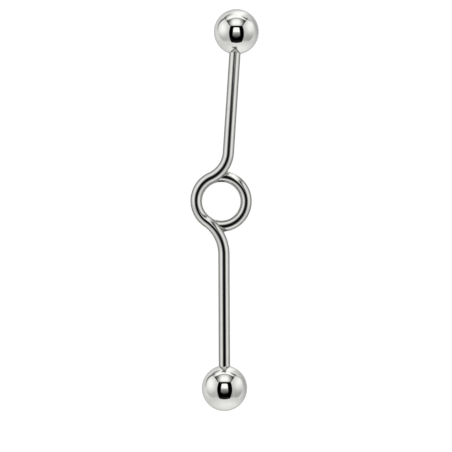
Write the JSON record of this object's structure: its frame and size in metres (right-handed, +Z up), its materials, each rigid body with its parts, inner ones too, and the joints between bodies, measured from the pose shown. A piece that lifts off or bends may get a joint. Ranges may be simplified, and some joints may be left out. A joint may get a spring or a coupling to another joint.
{
  "type": "industrial barbell",
  "caption": "Ear barbell of polished steel wire with a round loop in its middle and a screw-on ball at each end, lying on a surface.",
  "frame": {"origin": "on the surface that the barbell rests on, below the middle of its outline seen from above", "axes": "+Y runs along the line through both balls, from the bottom one in the picture to the top one; +X is the picture's right; +Z is up, out of the surface. The bar's own plane is tilted about Y by 9.4 degrees, left side down, as it rests on both balls and the ring's left edge"},
  "size_m": [0.007, 0.0444, 0.005],
  "materials": {
    "wire_steel": "mirror-polished surgical steel wire",
    "ball_steel": "mirror-polished surgical steel ball"
  },
  "bodies": {
    "bar": {"looped_bar": "wire_steel"},
    "upper_ball": {"top_ball": "ball_steel"},
    "lower_ball": {"bottom_ball": "ball_steel"}
  },
  "joints": [
    {"name": "top_ball_unscrews", "type": "slide", "parent": "bar", "child": "upper_ball", "axis": [0.0319, 0.9995, 0.0052], "range_m": [0, 0.008]},
    {"name": "bottom_ball_unscrews", "type": "slide", "parent": "bar", "child": "lower_ball", "axis": [0.037, -0.9993, 0.0061], "range_m": [0, 0.008]}
  ]
}
